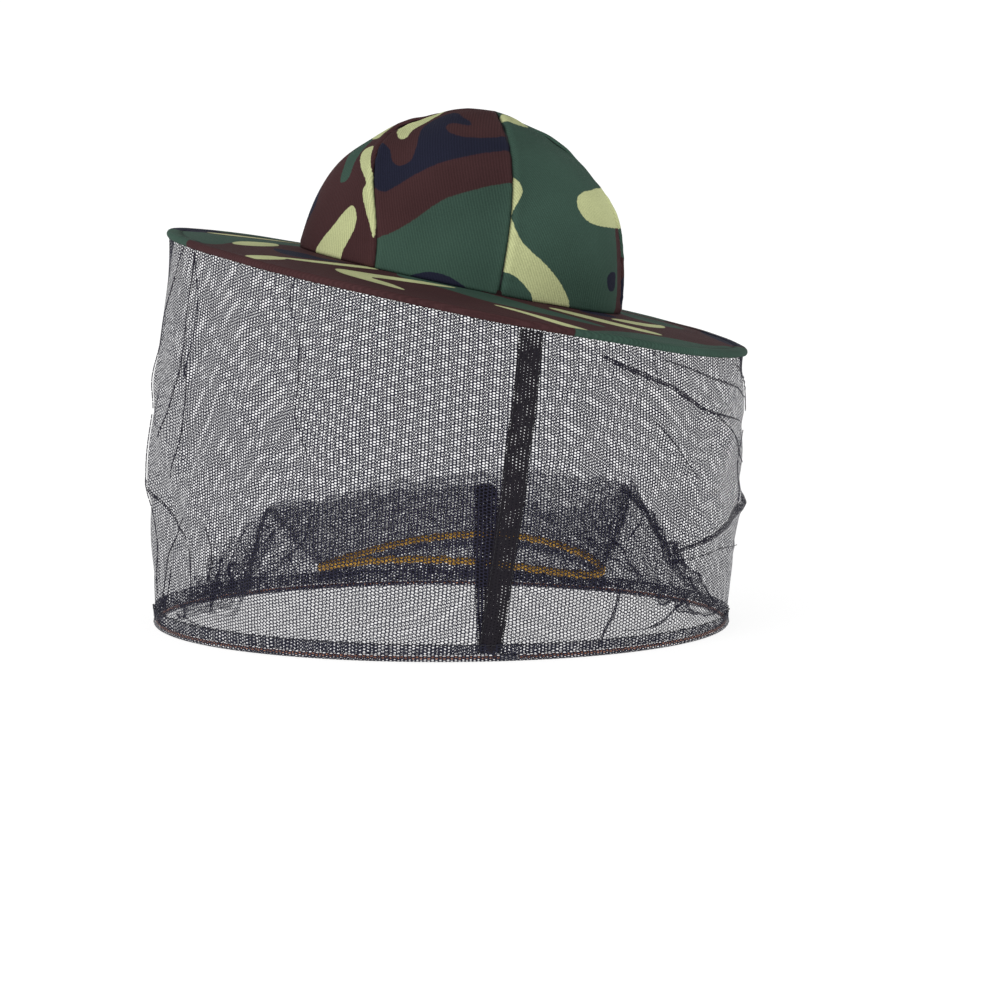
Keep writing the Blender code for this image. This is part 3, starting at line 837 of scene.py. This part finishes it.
def crease_path(line, count=60):
    """A crease's line as a soft curve, in metres round and down the wall."""
    corners = course(line) * (METRES_A_DEGREE, WALL_HEIGHT)
    marks = np.linspace(0, 1, len(corners))
    here = np.linspace(0, 1, count)
    slopes = np.gradient(corners, marks, axis=0)
    cell = np.clip(np.searchsorted(marks, here, side="right") - 1, 0, len(corners) - 2)
    wide = marks[cell + 1] - marks[cell]
    t = ((here - marks[cell]) / wide)[:, None]
    wide = wide[:, None]
    low, high = corners[cell], corners[cell + 1]
    ends = (2 * t**3 - 3 * t**2 + 1) * low + (3 * t**2 - 2 * t**3) * high
    leaving = (t**3 - 2 * t**2 + t) * wide * slopes[cell]
    return ends + leaving + (t**3 - t**2) * wide * slopes[cell + 1]


CREASE_PATHS = [(crease_path(line, 24), (start + end) / 2000) for line, start, end in WALL_CREASES]


def folded(angle, share):
    """The wall's cloth with its gathers, soft folds and the ridges of its creases."""
    drop = share * WALL_HEIGHT
    gather = ripple(angle + 0.1 * share, 6, 3, 60, 150) * 0.0017 * np.exp(-drop / 0.014)
    gather = gather * (0.35 + 0.65 * np.clip(ripple(angle, 4, 4, 3, 11), 0, 1.5))
    hem = ripple(angle, 5, 6, 50, 110) * 0.0008 * np.exp(-(WALL_HEIGHT - drop) / 0.010)
    drape = ripple(angle + 0.35 * share, 5, 12, 6, 17) * 0.0020 * np.sin(np.pi * share) ** 0.8
    slack = ripple(angle - 1.1 * share, 4, 13, 12, 24) * 0.0009 * np.sin(np.pi * share)
    out = gather + hem + drape + slack
    spot = np.stack([np.degrees(angle) % 360 * METRES_A_DEGREE, drop], -1)
    hung = np.sin(np.pi * share)
    for path, half in CREASE_PATHS:
        near = np.full(angle.shape, 1.0)
        for start, end in zip(path, path[1:]):
            run = end - start
            along = np.clip((spot - start) @ run / (run @ run), 0, 1)
            away = np.linalg.norm(spot - start - along[..., None] * run, axis=-1)
            near = np.minimum(near, away)
        ridge = np.exp(-((near / (0.004 + half)) ** 2))
        out = out + (0.0012 + half * 0.3) * ridge * hung
    return wall_at(angle, share, out)


WALL_COLUMNS, WALL_ROWS = 760, 124
angle, share = np.meshgrid(full_turn(WALL_COLUMNS), np.linspace(0, 1, WALL_ROWS))
points = folded(angle, share)
points[:, -1] = points[:, 0]
tops, bottoms = points[0, :, 2], points[-1, :, 2]
flat = np.stack([angle * (HOOP_RADIUS + 0.004), -share * (tops - bottoms)[None, :]], -1)
wall = woven("net_veil", points, flat, net, True)
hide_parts("net_wall")
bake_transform(wall)

crease_net = netting("creased_tulle", 0.00085, (0.008, 0.007, 0.012, 1), (0.022, 0.020, 0.034, 1), 0.8)


def fold_strips(name, creases, surface):
    """Narrow bands of doubled net lying along the creases of a surface."""
    rows, quads, flat = [], [], []
    for line, thin, wide in creases:
        path = crease_path(line)
        count = len(path)
        along = np.gradient(path, axis=0)
        along = along / np.linalg.norm(along, axis=1, keepdims=True)
        aside = np.stack([-along[:, 1], along[:, 0]], -1)
        run = np.linspace(0.02, 0.98, count)
        width = (thin + (wide - thin) * run) / 1000 * np.sin(np.pi * run) ** 0.4
        first = len(rows) * count
        for side in (-1, 0, 1):
            spot = path + aside * (width * side)[:, None]
            angle = spot[:, 0] / METRES_A_DEGREE * math.radians(1)
            share = np.clip(spot[:, 1] / WALL_HEIGHT, 0.004, 0.996)
            rows.append(surface(angle, share, 0.0007 + 0.0006 * (side == 0)))
            flat.append(spot)
        for row in (0, 1):
            for corner in range(first + row * count, first + row * count + count - 1):
                quads.append((corner, corner + 1, corner + 1 + count, corner + count))
    mesh = bpy.data.meshes.new(name)
    mesh.from_pydata(np.concatenate(rows).tolist(), [], quads)
    layer = mesh.uv_layers.new(name="cloth")
    spread = np.concatenate(flat)[np.array(quads).reshape(-1)]
    layer.uv.foreach_set("vector", spread.reshape(-1).astype(np.float32))
    mesh.shade_smooth()
    mesh.materials.append(crease_net)
    made = add_object(name, mesh)
    facing = bmesh.new()
    facing.from_mesh(mesh)
    for face in facing.faces:
        centre = face.calc_center_median()
        if face.normal.xy.dot(centre.xy) < 0:
            face.normal_flip()
    facing.to_mesh(mesh)
    facing.free()
    return made


creases = fold_strips("veil_creases", WALL_CREASES,
                      lambda angle, share, lift: folded(angle, share) + around(angle, 1, 1) * lift)
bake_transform(creases)

seam_cloth = netting("bound_seam", 0.00118, (0.005, 0.0045, 0.007, 1), (0.018, 0.015, 0.020, 1), 0.9)
SEAM_TOP, SEAM_FOOT = math.radians(117.5), math.radians(112.5)
SEAM_TAPE_HALF = 0.0068


def seam_tape(name, place_at, centre_at, width_at, length, lift):
    """A folded tape of the same net, thicker along both sewn edges."""
    share, side = np.meshgrid(np.linspace(0, 1, 150), np.linspace(-1, 1, 15), indexing="ij")
    rolled = 0.0005 * np.exp(-(((np.abs(side) - 0.9) / 0.12) ** 2))
    waver = ripple(share * 2 * np.pi, 3, 21, 2, 6) * 0.02
    angle = centre_at(share) + (side + waver) * width_at(share)
    points = place_at(angle, share, lift + rolled)
    flat = np.stack([side * SEAM_TAPE_HALF, share * length], -1)
    return woven(name, points, flat, seam_cloth)


def wall_tape_at(angle, share, outward):
    base = folded(angle, 0.004 + 0.992 * share)
    return base + around(angle, 1, 1) * outward[..., None]


def wall_seam(share):
    return SEAM_TOP + (SEAM_FOOT - SEAM_TOP) * share


wall_tape = seam_tape("veil_seam", wall_tape_at, wall_seam,
                      lambda share: SEAM_TAPE_HALF / HOOP_RADIUS, 0.18, 0.0007)
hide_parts("wall_seam_tape")
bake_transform(wall_tape)

TAPE_POINTS = 160
tape_share = np.linspace(0.005, 0.995, TAPE_POINTS)
tape_lines = []
for side in (-0.84, 0.84):
    centre = wall_seam(tape_share) + side * SEAM_TAPE_HALF / HOOP_RADIUS
    tape_lines.append(wall_tape_at(centre, tape_share, np.full(TAPE_POINTS, 0.0016)))
tape_stitches = stitched("veil_seam_stitches", tape_lines, 0.0030, 0.0024, 0.0005)
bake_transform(tape_stitches)

# Hoop hem: the net is turned round the copper-plated wire and stitched just above it, so the
# wire glints through three layers of net.
hem_net = netting("hem_tulle", 0.00072, (0.008, 0.008, 0.014, 1), (0.024, 0.024, 0.044, 1), 0.95)


def unrolled(turn, radius, rows, length):
    """Flat coordinates of a strip that's rolled into a tube round the neck or the hoop."""
    round_it = np.repeat(turn[None, :], rows, 0) * radius
    return np.stack([round_it, np.repeat(np.linspace(0, length, rows)[:, None], len(turn), 1)], -1)


turn = full_turn(720)
HEM_ROWS, HEM_ROUND = 20, 0.014
HEM_ROLL = CASING * 0.92
rows = []
for step in np.linspace(0, 1, HEM_ROWS):
    bend = math.radians(90 + 24 - (360 - 48) * step)
    gather = 1 + 0.10 * ripple(turn, 5, 41, 60, 130) * (0.5 + 0.5 * math.cos(bend - math.pi / 2))
    radius = HOOP_RADIUS + HEM_ROLL * math.cos(bend) * gather
    row = HOOP_CENTRE + np.stack([radius * np.sin(turn), -radius * np.cos(turn), 0 * turn], -1)
    row[:, 2] += HEM_ROLL * math.sin(bend) * gather
    rows.append(row)
points = np.array(rows)
points[:, -1] = points[:, 0]
flat = unrolled(turn, HOOP_RADIUS, HEM_ROWS, HEM_ROUND)
hem = woven("hoop_hem", points[::-1], flat, hem_net, True)
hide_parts("hoop_casing")
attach(hem, "lower_hoop")

HEM_DEPTH = 0.0065
angle, up = np.meshgrid(full_turn(WALL_COLUMNS), np.linspace(1, 0, 9))
tuck = ripple(angle, 6, 42, 50, 120) * 0.0006 * (0.3 + up)
points = folded(angle, 1 - up * HEM_DEPTH / WALL_HEIGHT) + around(angle, 1, 1) * (0.0010 + tuck)[..., None]
points[:, -1] = points[:, 0]
flat = np.stack([angle * HOOP_RADIUS, up * HEM_DEPTH], -1)
fold = woven("hem_fold", points, flat, hem_net, True)
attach(fold, "lower_hoop")
turn = full_turn(720)
hem_line = folded(turn, np.full(turn.shape, 1 - 0.9 * HEM_DEPTH / WALL_HEIGHT))
hem_line = hem_line + around(turn, 1, 1) * 0.0014
hem_stitches = stitched("hem_stitches", [hem_line], 0.0031, 0.0026, 0.0006)
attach(hem_stitches, "lower_hoop")

# Neck skirt: one net gathered from the hoop up over a soft crest and down inside it to the
# neck elastic. It bunches at the front and the nape, and the elastic draws it into fine pleats.
NECK_BACK = 0.001
CREST_WIDTH, CREST_LENGTH, CREST_RISE = 0.094, 0.108, 0.082
NECK_WIDTH, NECK_LENGTH, NECK_RISE, NECK_SADDLE = 0.076, 0.088, 0.037, 0.007
NECK_CENTRE = np.array([0, NECK_BACK, HOOP_CENTRE[2]])
SAG = 0.004
CREST_SWELL = np.array([  # degrees, rise and outward shift of the crest, in mm
    (0, -18, 11), (14, -14, 14), (26, -10, 12), (38, -5, 6), (50, -7, 1), (66, 0, 0),
    (85, 5, -1), (108, 9, 0), (118, 4, -2), (135, -9, -4), (150, -4, 0), (163, 3, 2),
    (178, 5, 0), (196, -4, -3), (215, 1, 0), (240, 0, 2), (262, 3, 0), (285, -1, -2),
    (310, -6, 0), (335, -14, 5), (360, -18, 11),
])


def crest_at(angle):
    degrees = np.degrees(angle) % 360
    rise = np.interp(degrees, CREST_SWELL[:, 0], CREST_SWELL[:, 1]) / 1000
    shift = np.interp(degrees, CREST_SWELL[:, 0], CREST_SWELL[:, 2]) / 1000
    flutter = ripple(angle, 5, 61, 18, 44) * 0.0011
    place = NECK_CENTRE + around(angle, CREST_WIDTH, CREST_LENGTH)
    place = place + around(angle, 1, 1) * shift[..., None]
    place[..., 2] += CREST_RISE + rise + flutter
    return place


def skirt_outer_at(angle, share, lift=0.0):
    """From the crest at share 0 down and out to the hoop at share 1."""
    crest = crest_at(angle)
    foot = HOOP_CENTRE + around(angle, HOOP_RADIUS, HOOP_RADIUS)
    foot[..., 2] += CASING * 0.8
    place = crest + (foot - crest) * share[..., None]
    degrees = np.degrees(angle) % 360
    nape = np.exp(-(((degrees - 168) / 26) ** 2))
    ends = nape + np.exp(-(((degrees + 180) % 360 - 196) / 30) ** 2)
    belly = np.sin(np.pi * share)
    round_top = 0.006 * np.sin(np.pi * np.minimum(share * 2, 1)) * (1 - share)
    pleat = ripple(angle + 0.25 * share, 6, 62, 34, 80) * 0.0017 * (1 - share) ** 0.7
    swag = ripple(angle - 0.7 * share, 5, 63, 7, 19) * 0.0050 * belly * (0.5 + ends)
    bunch = ripple(angle + 0.9 * share, 5, 64, 22, 46) * 0.0032 * belly * ends
    front = np.exp(-((((degrees + 170) % 360 - 180) / 42) ** 2))
    sunk = (0.006 + 0.005 * ends + 0.013 * front) * belly
    place[..., 2] += round_top + (swag + bunch) * 0.9 - sunk
    # The net eases into the height of the hoop where it would sag below it.
    above = (place[..., 2] - foot[..., 2]) / SAG
    place[..., 2] = foot[..., 2] + SAG * (np.log1p(np.exp(above)) - math.log(2) * share**8)
    return place + around(angle, 1, 1) * (pleat + 0.5 * (swag + bunch) + lift)[..., None]


def skirt_inner_at(angle, share):
    """From the crest at share 0 down and in to the elastic at share 1."""
    pleated = ripple(angle, 6, 62, 34, 80) * 0.0017
    crest = crest_at(angle) + around(angle, 1, 1) * pleated[..., None]
    neck = NECK_CENTRE + around(angle, NECK_WIDTH, NECK_LENGTH)
    neck[..., 2] += NECK_RISE + 0.0015 - NECK_SADDLE * np.cos(2 * angle)
    place = crest + (neck - crest) * share[..., None]
    belly = np.sin(np.pi * share)
    pleat = ripple(angle, 6, 65, 45, 95) * 0.0016 * share
    pleat = pleat + ripple(angle + 0.6 * share, 5, 66, 12, 26) * 0.0030 * belly
    return place + around(angle, 1, 1) * (pleat + 0.003 * belly)[..., None]


SKIRT_COLUMNS = 960
for name, place_at, rows, node, cut in (("skirt_flounce", skirt_outer_at, 84, "skirt_outer", 0.115),
                                        ("skirt_inside", skirt_inner_at, 44, "skirt_inner", 0.06)):
    angle, share = np.meshgrid(full_turn(SKIRT_COLUMNS), np.linspace(0, 1, rows))
    points = place_at(angle, share)
    points[:, -1] = points[:, 0]
    if node == "skirt_inner":
        points, share = points[::-1], share[::-1]
    flat = np.stack([angle * 0.175, -share * cut], -1)
    skirt = woven(name, points, flat, skirt_net, True)
    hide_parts(node)
    if node == "skirt_outer":
        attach(skirt, "lower_hoop")
    else:
        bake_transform(skirt)

# Courses from the crest down to the hoop, with half widths in mm as above.
SKIRT_CREASES = [
    ("176 2, 179 30, 184 60, 190 93", 2.6, 3.6), ("164 2, 168 30, 178 62, 186 95", 0.8, 1.6),
    ("150 4, 157 35, 170 65, 181 93", 1.2, 2.4), ("138 12, 146 40, 160 66, 177 88", 0.7, 1.4),
    ("149 42, 143 65, 137 85, 134 99", 1.8, 1), ("128 10, 136 24, 152 30, 166 20", 0.7, 0.9),
    ("124 2, 132 16, 134 34, 146 52", 0.6, 1), ("176 84, 186 90, 197 86", 2.6, 2),
    ("140 88, 154 80, 170 78, 182 86", 1.2, 2.2), ("196 10, 199 40, 196 80", 1, 1.6),
    ("9 2, 14 34, 12 66, 16 90", 1.6, 0.9), ("27 2, 23 30, 29 58, 22 90", 1.3, 1),
    ("47 4, 36 22, 26 42, 22 60", 0.9, 0.7), ("17 20, 32 34, 44 46, 58 50", 0.8, 0.8),
    ("10 76, 26 82, 44 87, 60 88", 1.8, 0.7), ("352 10, 356 50, 364 90", 1.1, 1.8),
    ("3 93, 12 95, 24 92", 1.8, 1.2), ("50 0, 54 20, 49 40, 56 60", 0.9, 0.6),
    ("60 2, 66 12, 78 16, 92 12", 0.6, 0.6), ("228 6, 240 30, 234 60", 0.7, 0.7),
    ("288 6, 280 30, 292 62", 0.7, 0.6), ("326 5, 332 40, 322 75", 0.9, 0.7),
]
pleats = fold_strips("skirt_creases", SKIRT_CREASES, skirt_outer_at)
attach(pleats, "lower_hoop")

SKIRT_SEAM_CREST = math.radians(110)


def skirt_tape_at(angle, share, up):
    return skirt_outer_at(angle, 0.01 + 0.97 * share, up + 0.0004) + np.array([0, 0, 0.0008])


skirt_tape = seam_tape("skirt_seam", skirt_tape_at,
                       lambda share: SKIRT_SEAM_CREST + (SEAM_FOOT - SKIRT_SEAM_CREST) * share,
                       lambda share: SEAM_TAPE_HALF / (0.1 + 0.0765 * share), 0.12, 0.0006)
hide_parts("skirt_seam_tape")
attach(skirt_tape, "lower_hoop")

# Neck elastic: a mustard cord elastic sewn into the skirt's inner edge, with a narrow frill of
# net below it.
elastic, shade = new_finish("mustard_elastic")
vector, across, along = shade.flat()
STRAND = 2 * math.pi / 0.0019
braid = ((across + along * 1.2) * STRAND).sine() * 0.5
braid = braid + ((across - along * 1.2) * STRAND).sine() * 0.5
lint = shade.noise(1500, 3, vector)
coat(elastic, {"Base Color": (braid * 0.35 + lint * 0.7 + 0.1).blend((0.72, 0.34, 0.03, 1),
                                                                     (1.0, 0.62, 0.09, 1)),
               "Roughness": 0.6 + lint * 0.25, "Normal": shade.bump(braid + lint, 0.0004)})
turn = full_turn(720)
core = NECK_CENTRE + around(turn, NECK_WIDTH, NECK_LENGTH)
core[:, 2] += NECK_RISE - NECK_SADDLE * np.cos(2 * turn)
core += around(turn, 1, 1) * (ripple(turn, 5, 71, 40, 90) * 0.0003)[:, None]
core[:, 2] += ripple(turn, 5, 72, 30, 70) * 0.0004
CORD_RADIUS, CORD_ROWS, CORD_ROUND = 0.0022, 15, 0.0107
rows = []
for bend in np.linspace(2 * np.pi, 0, CORD_ROWS):
    radius = CORD_RADIUS * (1 + 0.06 * np.sin(turn * 210 + 2 * bend))
    row = core + around(turn, 1, 1) * (radius * math.cos(bend))[:, None]
    row[:, 2] += radius * math.sin(bend)
    rows.append(row)
points = np.array(rows)
points[:, -1] = points[:, 0]
flat = unrolled(turn, (NECK_WIDTH + NECK_LENGTH) / 2, CORD_ROWS, CORD_ROUND)
cord = woven("neck_elastic_cord", points[::-1], flat, elastic, True)
join = bmesh.new()
join.from_mesh(cord.data)
bmesh.ops.remove_doubles(join, verts=join.verts, dist=0.00002)
bmesh.ops.recalc_face_normals(join, faces=join.faces)
join.to_mesh(cord.data)
join.free()
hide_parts("neck_elastic")
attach(cord, "neck_band")

angle, share = np.meshgrid(full_turn(SKIRT_COLUMNS), np.linspace(0, 1, 12))
scallop = ripple(angle, 6, 73, 50, 110)
points = NECK_CENTRE + around(angle, NECK_WIDTH, NECK_LENGTH)
depth = share * (0.0058 + 0.0008 * scallop)
points[..., 2] += NECK_RISE - CORD_RADIUS - NECK_SADDLE * np.cos(2 * angle) - depth
points += around(angle, 1, 1) * (share * (0.002 + 0.0015 * scallop))[..., None]
points[:, -1] = points[:, 0]
flat = np.stack([angle * 0.12, -share * 0.006], -1)
frill = woven("neck_edge_frill", points, flat, hem_net, True)
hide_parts("neck_frill")
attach(frill, "neck_band")
